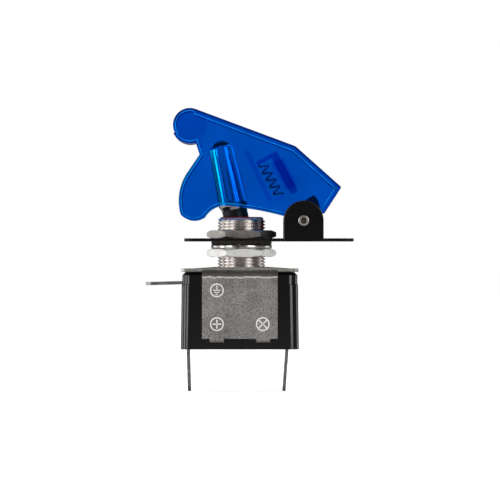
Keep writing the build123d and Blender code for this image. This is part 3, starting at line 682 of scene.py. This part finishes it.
@dataclass
class ThreadedBushing:
    """The lever's bushing with its screw thread cut in."""

    radius: float = 6.0
    depth: float = 0.42
    pitch: float = 0.8
    chamfer: float = 0.8
    steps: int = 72
    crest: float = 0.16
    root: float = 0.46
    root_sunk: float = 0.03
    foot_z: float = -6.9

    def build(self, material: bpy.types.Material) -> bpy.types.Object:
        """Sweep the thread's ridge round a core and let both stand for the CAD bushing.

        Args:
            material: the finish.

        Returns:
            The new piece.
        """
        top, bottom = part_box("bushing")[1].z, self.foot_z * MM
        core = (self.radius - self.depth) * MM
        mesh = copy_of("bushing")
        for vertex in mesh.verts:
            reach = math.hypot(vertex.co.x, vertex.co.y)
            if reach > core and abs(vertex.co.z) < top + MM:
                vertex.co.x *= core / reach
                vertex.co.y *= core / reach
        smooth_by_angle(mesh)
        self._ridge(mesh, core, bottom, top)
        for vertex in mesh.verts:
            reach = math.hypot(vertex.co.x, vertex.co.y)
            limit = (self.radius - self.chamfer) * MM + max(0.0, top - vertex.co.z)
            if reach > limit:
                vertex.co.x *= limit / reach
                vertex.co.y *= limit / reach
        piece = keep(mesh, "bushing_threaded")
        dress(piece, material, Body.SWITCH)
        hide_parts("bushing")
        return piece

    def _ridge(self, mesh: bmesh.types.BMesh, core: float, bottom: float, top: float) -> None:
        """Add the helical ridge, closed at both ends.

        Args:
            mesh: the bmesh to add to.
            core: radius of the core in metres.
            bottom: height of the lowest turn.
            top: height of the highest turn.
        """
        pitch = self.pitch * MM
        turns = int((top - bottom) / pitch)
        root = core - self.root_sunk * MM
        outer = self.radius * MM
        corners = [(root, -self.root * pitch), (outer, -self.crest * pitch), (outer, self.crest * pitch),
                   (root, self.root * pitch)]
        verts = [mesh.verts.new((reach, 0.0, bottom + height)) for reach, height in corners]
        edges = [mesh.edges.new((verts[i], verts[(i + 1) % 4])) for i in range(4)]
        start = mesh.faces.new(verts)
        bmesh.ops.spin(mesh, geom=[*edges, start], cent=(0, 0, 0), axis=(0, 0, 1),
                       dvec=(0, 0, pitch / self.steps), angle=math.tau * turns,
                       steps=self.steps * turns, use_merge=False, use_duplicate=False)


def disc(mesh: bmesh.types.BMesh, centre: tuple[float, float], front: float, back: float, radius: float,
         segments: int = 40) -> None:
    """Add a round disc that stands across the Y axis.

    Args:
        mesh: the bmesh to add to.
        centre: x and z of the disc in mm.
        front: y of its front in mm.
        back: y of its back in mm.
        radius: its radius in mm.
        segments: sides of the circle.
    """
    turn = Matrix.Translation(Vector((centre[0], (front + back) / 2, centre[1])) * MM) @ Matrix.Rotation(
        math.pi / 2, 4, "X")
    bmesh.ops.create_cone(mesh, cap_ends=True, segments=segments, radius1=radius * MM, radius2=radius * MM,
                          depth=abs(back - front) * MM, matrix=turn)


def bar(mesh: bmesh.types.BMesh, centre: tuple[float, float], length: float, width: float, angle: float,
        front: float, back: float) -> None:
    """Add a straight bar on the yoke's front.

    Args:
        mesh: the bmesh to add to.
        centre: x and z of its middle in mm.
        length: its length in mm.
        width: its width in mm.
        angle: turn from level in degrees.
        front: y of its front in mm.
        back: y of its back in mm.
    """
    turn = Matrix.Translation(Vector((centre[0], (front + back) / 2, centre[1])) * MM) @ Matrix.Rotation(
        math.radians(angle), 4, "Y") @ Matrix.Diagonal((length * MM, abs(back - front) * MM, width * MM, 1.0))
    bmesh.ops.create_cube(mesh, size=1.0, matrix=turn)


def loop(mesh: bmesh.types.BMesh, centre: tuple[float, float], radius: float, width: float, front: float,
         back: float, segments: int = 48) -> None:
    """Add a flat round line on the yoke's front.

    Args:
        mesh: the bmesh to add to.
        centre: x and z of its middle in mm.
        radius: radius of the line's middle in mm.
        width: the line's width in mm.
        front: y of its front in mm.
        back: y of its back in mm.
        segments: sides of the circle.
    """
    inner, outer = radius - width / 2, radius + width / 2
    verts = [mesh.verts.new(Vector((centre[0] + reach, y, centre[1])) * MM)
             for reach, y in ((inner, back), (outer, back), (outer, front), (inner, front))]
    edges = [mesh.edges.new((verts[i], verts[(i + 1) % 4])) for i in range(4)]
    bmesh.ops.spin(mesh, geom=edges, cent=Vector((centre[0], 0.0, centre[1])) * MM, axis=(0, 1, 0),
                   angle=math.tau, steps=segments, use_merge=True, use_duplicate=False)


@dataclass
class RivetFloor:
    """A dark floor in the hinge rivet's bore, a little way in from each of its ends; its dark colour is
    painted shade.
    """

    sunk: float = 0.9
    thick: float = 0.3
    bore: float = 0.82

    def build(self, material: bpy.types.Material) -> bpy.types.Object:
        """Close the bore a little way in from each head.

        Args:
            material: the finish.

        Returns:
            The new piece.
        """
        low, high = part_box("hinge_rivet")
        centre = ((low.x + high.x) / 2 / MM, (low.z + high.z) / 2 / MM)
        mesh = bmesh.new()
        for end, inward in ((low.y / MM, 1), (high.y / MM, -1)):
            disc(mesh, centre, end + inward * self.sunk, end + inward * (self.sunk + self.thick), self.bore)
        piece = keep(mesh, "rivet_floor")
        dress(piece, material, Body.SWITCH)
        return piece


@dataclass
class WallLines:
    """A fine line of painted highlight round each side wall of the cover, a little way in from its outline.
    """

    border: float = 0.5
    roof_border: float = 1.15
    width: float = 0.22
    proud: float = 0.02
    sunk: float = 0.08
    roof: tuple[tuple[float, float], ...] = ((-11.0, 33.3), (12.9, 25.0), (25.35, 13.75), (21.1, 7.2))
    roof_reach: float = 0.6
    mitre_floor: float = 0.4

    def build(self, material: bpy.types.Material) -> bpy.types.Object:
        """Lay the lines on both walls.

        Args:
            material: the finish.

        Returns:
            The new piece.
        """
        cover = copy_of("safety_cover")
        bmesh.ops.recalc_face_normals(cover, faces=cover.faces)
        low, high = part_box("safety_cover")
        mesh = bmesh.new()
        for wall, outward in ((low.y, -1), (high.y, 1)):
            outline = self._outline([edge for edge in cover.edges if is_rim(edge, outward, wall)])
            self._line(mesh, outline, wall / MM, outward)
        cover.free()
        piece = keep(mesh, "cover_wall_lines")
        dress(piece, material, Body.COVER)
        return piece

    def _outline(self, rim: list[bmesh.types.BMEdge]) -> list[Vector]:
        """Chain a wall's rim edges into its longest closed outline.

        Args:
            rim: the rim edges, in any order.

        Returns:
            The outline's corners in mm, as x and z, turning one way round.
        """
        left, loops = dict.fromkeys(rim), []
        while left:
            first = next(iter(left))
            del left[first]
            chain = [first.verts[0], first.verts[1]]
            while True:
                following = next((e for e in chain[-1].link_edges if e in left), None)
                if following is None:
                    break
                del left[following]
                chain.append(following.other_vert(chain[-1]))
            loops.append([Vector((v.co.x, v.co.z)) / MM for v in chain[:-1]])
        outline = max(loops, key=len)
        area = sum(a.x * b.y - b.x * a.y for a, b in zip(outline, outline[1:] + outline[:1]))
        return outline if area > 0 else outline[::-1]

    def _line(self, mesh: bmesh.types.BMesh, outline: list[Vector], wall: float, outward: int) -> None:
        """Add one closed line inside an outline.

        Args:
            mesh: the bmesh to add to.
            outline: its corners in mm.
            wall: y of the wall's outer face in mm.
            outward: -1 on the near wall, 1 on the far wall.
        """
        rings = []
        for here, before, after in zip(outline, outline[-1:] + outline[:-1], outline[1:] + outline[:1]):
            sides = [(end - start).normalized() for start, end in ((before, here), (here, after))]
            inward = [Vector((-side.y, side.x)) for side in sides]
            mitre = (inward[0] + inward[1]) / max(self.mitre_floor, 1 + inward[0].dot(inward[1]))
            border = self.roof_border if self._near_roof(here) else self.border
            rings.append([mesh.verts.new(Vector((spot.x, y, spot.y)) * MM)
                          for reach, y in ((border, wall + outward * self.proud),
                                           (border + self.width, wall + outward * self.proud),
                                           (border + self.width, wall - outward * self.sunk),
                                           (border, wall - outward * self.sunk))
                          for spot in [here + mitre * reach]])
        for first, second in zip(rings, rings[1:] + rings[:1]):
            for i in range(4):
                mesh.faces.new((first[i], first[(i + 1) % 4], second[(i + 1) % 4], second[i]))

    def _near_roof(self, spot: Vector) -> bool:
        """Tell whether a corner lies on the roof's outline or down the rear edge.

        Args:
            spot: a corner of the outline, as x and z in mm.

        Returns:
            Whether it lies there.
        """
        ends = [Vector(end) for end in self.roof]
        for start, end in zip(ends, ends[1:]):
            share = max(0.0, min(1.0, (spot - start).dot(end - start) / (end - start).length_squared))
            if (spot - start.lerp(end, share)).length < self.roof_reach:
                return True
        return False


@dataclass
class StampedSigns:
    """The three terminal signs stamped on the yoke's front: earth, supply and lamp."""

    radius: float = 1.6
    line: float = 0.27
    proud: float = 0.05
    sunk: float = 0.1
    plus_span: float = 1.4
    lamp_span: float = 1.8
    stem_span: float = 0.7
    stem_rise: float = 0.35
    rung_line: float = 0.8
    rungs: tuple[tuple[float, float], ...] = ((0.0, 1.15), (0.34, 0.75), (0.64, 0.36))
    places: dict[Sign, tuple[float, float]] = field(default_factory=lambda: {
        Sign.EARTH: (-6.2, -12.35), Sign.PLUS: (-6.2, -20.9), Sign.LAMP: (5.4, -20.9)})

    def build(self, material: bpy.types.Material) -> bpy.types.Object:
        """Make the raised lines of the three signs.

        Args:
            material: the finish.

        Returns:
            The new piece.
        """
        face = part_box("yoke")[0].y / MM
        front, back = face - self.proud, face + self.sunk
        mesh = bmesh.new()
        for sign, centre in self.places.items():
            loop(mesh, centre, self.radius, self.line, front, back)
            if sign is Sign.PLUS:
                for angle in (0.0, 90.0):
                    bar(mesh, centre, self.radius * self.plus_span, self.line, angle, front, back)
            elif sign is Sign.EARTH:
                bar(mesh, (centre[0], centre[1] + self.radius * self.stem_rise), self.radius * self.stem_span,
                    self.line, 90.0, front, back)
                for drop, width in self.rungs:
                    bar(mesh, (centre[0], centre[1] - self.radius * drop), self.radius * width,
                        self.line * self.rung_line, 0.0, front, back)
            else:
                for angle in (45.0, 135.0):
                    bar(mesh, centre, self.radius * self.lamp_span, self.line, angle, front, back)
        piece = keep(mesh, "stamped_signs")
        dress(piece, material, Body.SWITCH)
        return piece


@dataclass(frozen=True)
class SoftBox:
    """A soft rectangular light that faces the switch, with its place and size in mm.

    A glow of 1 is as bright as the white surround.
    """

    name: str
    place: tuple[float, float, float]
    width: float
    height: float
    glow: float

    def build(self) -> None:
        """Add the light."""
        data = bpy.data.lights.new(self.name, "AREA")
        data.shape = "RECTANGLE"
        data.size, data.size_y = self.width * MM, self.height * MM
        data.energy = self.glow * math.pi * data.size * data.size_y
        light = bpy.data.objects.new(self.name, data)
        light.visible_camera = False
        light.location = Vector(self.place) * MM
        light.rotation_euler = (Vector((0.0, 0.0, 0.0)) - light.location).to_track_quat("-Z", "Y").to_euler()
        bpy.context.scene.collection.objects.link(light)


LIGHTS = (
    SoftBox("left_box", (-446, -401, 60), 200, 560, 2.5),
    SoftBox("right_box", (370, -475, 80), 270, 520, 2.3),
    SoftBox("left_card", (-110, -24, 0), 32, 70, 2.6),
    SoftBox("top_box", (0, 260, 470), 420, 260, 1.6),
    SoftBox("left_rim", (-440, 220, 60), 240, 420, 1.4),
    SoftBox("right_rim", (440, 220, 60), 240, 420, 1.2),
)


@dataclass
class Studio:
    """Pale floor, white surround, soft lights and the level camera."""

    camera_reach: float = 1000.0
    camera_x: float = 2.17
    camera_z: float = -2.17
    field: float = 127.55
    sensor: float = 36.0
    floor_size: float = 4000.0
    floor_gap: float = 0.05
    floor_tone: Colour = (0.97, 0.97, 0.97)
    floor_mirrored: Colour = (0.25, 0.25, 0.25)
    floor_glow: float = 0.5
    floor_roughness: float = 0.9
    floor_gleam: float = 0.1
    near_clip: float = 10.0
    far_clip: float = 100000.0
    surround: float = 1.0
    seen_through: float = 0.6
    ambient: float = 0.7
    mirrored: float = 0.09

    def build(self) -> None:
        """Set up the whole studio."""
        self._camera()
        self._surround()
        self._floor()
        for light in LIGHTS:
            light.build()
        bpy.context.scene.view_settings.view_transform = "Standard"

    def _camera(self) -> None:
        """Place the level camera in front of the switch."""
        data = bpy.data.cameras.new("camera")
        data.sensor_width = self.sensor
        data.lens = self.sensor * self.camera_reach / self.field
        data.clip_start = self.near_clip * MM
        data.clip_end = self.far_clip * MM
        data.dof.use_dof = False
        camera = bpy.data.objects.new("camera", data)
        camera.location = Vector((self.camera_x, -self.camera_reach, self.camera_z)) * MM
        camera.rotation_euler = (math.pi / 2, 0.0, 0.0)
        bpy.context.scene.collection.objects.link(camera)
        bpy.context.scene.camera = camera

    def _surround(self) -> None:
        """White where the camera looks, softer grey for what the metal mirrors."""
        world = bpy.data.worlds.new("surround")
        bpy.context.scene.world = world
        world.use_nodes = True
        tree = world.node_tree
        tree.nodes.clear()
        rays = tree.nodes.new("ShaderNodeLightPath")
        strengths = (("Is Camera Ray", self.surround), ("Is Transmission Ray", self.seen_through),
                     ("Is Diffuse Ray", self.ambient))
        total = None
        for ray, strength in strengths:
            part = tree.nodes.new("ShaderNodeMath")
            part.operation = "MULTIPLY"
            part.inputs[1].default_value = strength
            tree.links.new(rays.outputs[ray], part.inputs[0])
            if total is None:
                total = part.outputs["Value"]
                continue
            most = tree.nodes.new("ShaderNodeMath")
            most.operation = "MAXIMUM"
            tree.links.new(total, most.inputs[0])
            tree.links.new(part.outputs["Value"], most.inputs[1])
            total = most.outputs["Value"]
        floor = tree.nodes.new("ShaderNodeMath")
        floor.operation = "MAXIMUM"
        floor.inputs[1].default_value = self.mirrored
        tree.links.new(total, floor.inputs[0])
        light = tree.nodes.new("ShaderNodeBackground")
        light.inputs["Color"].default_value = (1, 1, 1, 1)
        tree.links.new(floor.outputs["Value"], light.inputs["Strength"])
        output = tree.nodes.new("ShaderNodeOutputWorld")
        tree.links.new(light.outputs["Background"], output.inputs["Surface"])

    def _floor(self) -> None:
        """Lay the pale floor under the lowest blade."""
        graph = Graph("pale_floor")
        shader = graph.surface(Roughness=self.floor_roughness, Specular_IOR_Level=self.floor_gleam)
        rays = graph.add("LightPath")
        tone = graph.blend(rays.outputs["Is Glossy Ray"], self.floor_tone, self.floor_mirrored)
        graph.join(tone, shader.inputs["Base Color"])
        shader.inputs["Emission Color"].default_value = (1, 1, 1, 1)
        glow = graph.span(rays.outputs["Is Glossy Ray"], self.floor_glow, 0.0, 0.0, 1.0)
        graph.join(glow, shader.inputs["Emission Strength"])
        mesh = bmesh.new()
        bmesh.ops.create_grid(mesh, x_segments=1, y_segments=1, size=self.floor_size * MM / 2)
        floor = keep(mesh, "floor")
        floor.location.z = CAD_BOX[0][2] - self.floor_gap * MM
        floor.data.materials.append(graph.material)


FINISHES = (
    Plastic("black_steel", (0.003, 0.003, 0.003), 0.3, gloss=0.18),
    Metal("rivet_nickel", (0.90, 0.87, 0.82), 0.3),
    Plastic("black_nylon", (0.006, 0.006, 0.006), 0.4, gloss=0.3),
    Metal("nickel_turned", (0.74, 0.69, 0.66), 0.26),
    Metal("spring_steel", (0.50, 0.50, 0.52), 0.3),
    Metal("nickel_nut", (0.62, 0.59, 0.55), 0.27),
    Plastic("black_rubber", (0.022, 0.020, 0.018), 0.6, gloss=0.2),
    Metal("nickel_washer", (0.80, 0.79, 0.77), 0.2),
    SpeckledPlate(),
    Plastic("black_case", (0.001, 0.001, 0.0014), 0.09, skin_height=0.000001, gloss=0.8),
    Metal("tinned_brass", (0.50, 0.49, 0.46), 0.34, cloud_per_m=1100.0, cloud_depth=0.42),
    Metal("silver_contact", (0.85, 0.84, 0.82), 0.2),
    Metal("brass_strip", (0.72, 0.52, 0.24), 0.3),
    Metal("copper_strip", (0.80, 0.42, 0.26), 0.3),
    Plastic("resistor_body", (0.55, 0.42, 0.26), 0.45),
    # the chrome's faint pink tint is a painted reflection of a red surround
    Metal("chrome_bat", (0.86, 0.80, 0.81), 0.12, cloud_depth=0.04),
    TintedPlastic("led_lens", (0.05, 0.06, 0.10), (0.02, 0.03, 0.10), 1500.0),
    TintedPlastic("led_body", (0.85, 0.87, 0.92), (0.8, 0.85, 0.95), 60.0),
    # light plating on the stamped signs; on the yoke's broken edges the same colour is a painted highlight
    Plastic("light_plating_and_edge_highlight", (0.66, 0.65, 0.62), 0.35, mottle=0.12),
    # painted light: the lower nut's nickel, made lighter than the upper nut's
    Metal("nut_nickel_painted_light", (1.0, 0.98, 0.95), 0.42, cloud_depth=0.04, metallic=0.75),
    Metal("tinned_wire", (0.75, 0.74, 0.72), 0.25),
    TintedPlastic("blue_cover", (0.001, 0.371, 0.888), (0.0, 0.69, 0.95), 300.0, gleam=(0.04, 0.45, 1.0)),
    TintedPlastic("blue_slider", (0.01, 0.45, 0.85), (0.0, 0.5, 0.85), 300.0),
    # painted highlight: the light blue line round the cover's walls
    PaintedHighlightLine(),
    RimmedNickel(),
    # painted shade: the upper nut's nickel, made darker than the lower nut's
    Metal("nut_nickel_painted_shade", (0.34, 0.32, 0.30), 0.3, cloud_depth=0.2, grain_height=0.000006, metallic=0.8),
    # painted highlight: a tan line on the guard bracket's broken edges
    Metal("painted_edge_highlight", (0.16, 0.13, 0.10), 0.35),
    # painted shade: the dark floor deep in the rivet's bore
    Metal("bore_floor_painted_shade", (0.16, 0.13, 0.11), 0.5),
)

SOFTENED = (
    # the guard's broken edges carry a painted highlight
    SoftenedNode("guard_bracket", Body.SWITCH, "black_steel", 0.14, edge="painted_edge_highlight"),
    SoftenedNode("hinge_rivet", Body.SWITCH, "rivet_nickel", 0.08),
    # the two nuts share one nickel; one finish is painted shade, the other painted light
    SoftenedNode("upper_nut", Body.SWITCH, "nickel_nut", 0.12, finish="nut_nickel_painted_shade"),
    SoftenedNode("lower_nut", Body.SWITCH, "nickel_nut", 0.12, finish="nut_nickel_painted_light"),
    SoftenedNode("lock_washer", Body.SWITCH, "nickel_washer", 0.1),
    SoftenedNode("sealing_washer", Body.SWITCH, "black_rubber", 0.12),
    # the yoke's broken edges carry a painted highlight
    SoftenedNode("yoke", Body.SWITCH, "plated_sheet", 0.22, edge="light_plating_and_edge_highlight"),
    SoftenedNode("housing_cap", Body.SWITCH, "black_case", 0.1),
    SoftenedNode("housing_base", Body.SWITCH, "black_case", 0.18),
    SoftenedNode("terminal_power", Body.SWITCH, "tinned_brass", 0.08),
    SoftenedNode("terminal_load", Body.SWITCH, "tinned_brass", 0.08),
    SoftenedNode("terminal_earth", Body.SWITCH, "tinned_brass", 0.08),
    SoftenedNode("actuator", Body.LEVER, "black_nylon", 0.08),
    SoftenedNode("lever_bat", Body.LEVER, "chrome_bat", 0.12),
    SoftenedNode("lens", Body.LEVER, "led_lens", 0.03),
    SoftenedNode("snap_cam", Body.SWITCH, "black_nylon", 0.12),
)

SPRINGS = (
    CoilSpring("plunger_spring", "spring_steel", Body.LEVER, Body.CONTACT_PLUNGER, (-0.208, 0.0, 0.978),
               fixed_leads=True),
    CoilSpring("snap_spring", "spring_steel", Body.COVER, Body.SNAP_PLUNGER, (-0.476, 0.0, 0.880),
               fixed_leads=False),
)


SINGLE_PIECES = (
    (RimmedCover(), "blue_cover"),
    (ThreadedBushing(), "bushing_nickel"),
    (StampedSigns(), "light_plating_and_edge_highlight"),
    (RivetFloor(), "bore_floor_painted_shade"),
    (WallLines(), "blue_line"),
)


def main() -> None:
    """Dress every CAD node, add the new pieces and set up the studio."""
    logging.basicConfig(level=logging.INFO, format="%(message)s")
    materials = {finish.name: finish.build() for finish in FINISHES}
    slots = {node["node"]: node["material_slot"] for node in frame["record"]["subparts"]}
    for name, node in frame["nodes"].items():
        node.data.materials.clear()
        node.data.materials.append(materials[slots[name]])
    log.info("dressed %d nodes", len(slots))
    for part in SOFTENED:
        part.build(materials[part.finish or part.slot], materials.get(part.edge))
    for spring in SPRINGS:
        spring.build(materials[spring.slot])
    for piece, finish in SINGLE_PIECES:
        piece.build(materials[finish])
    log.info("built %d pieces", len(SOFTENED) + len(SPRINGS) + len(SINGLE_PIECES))
    Studio().build()


if __name__ == "__main__":
    main()
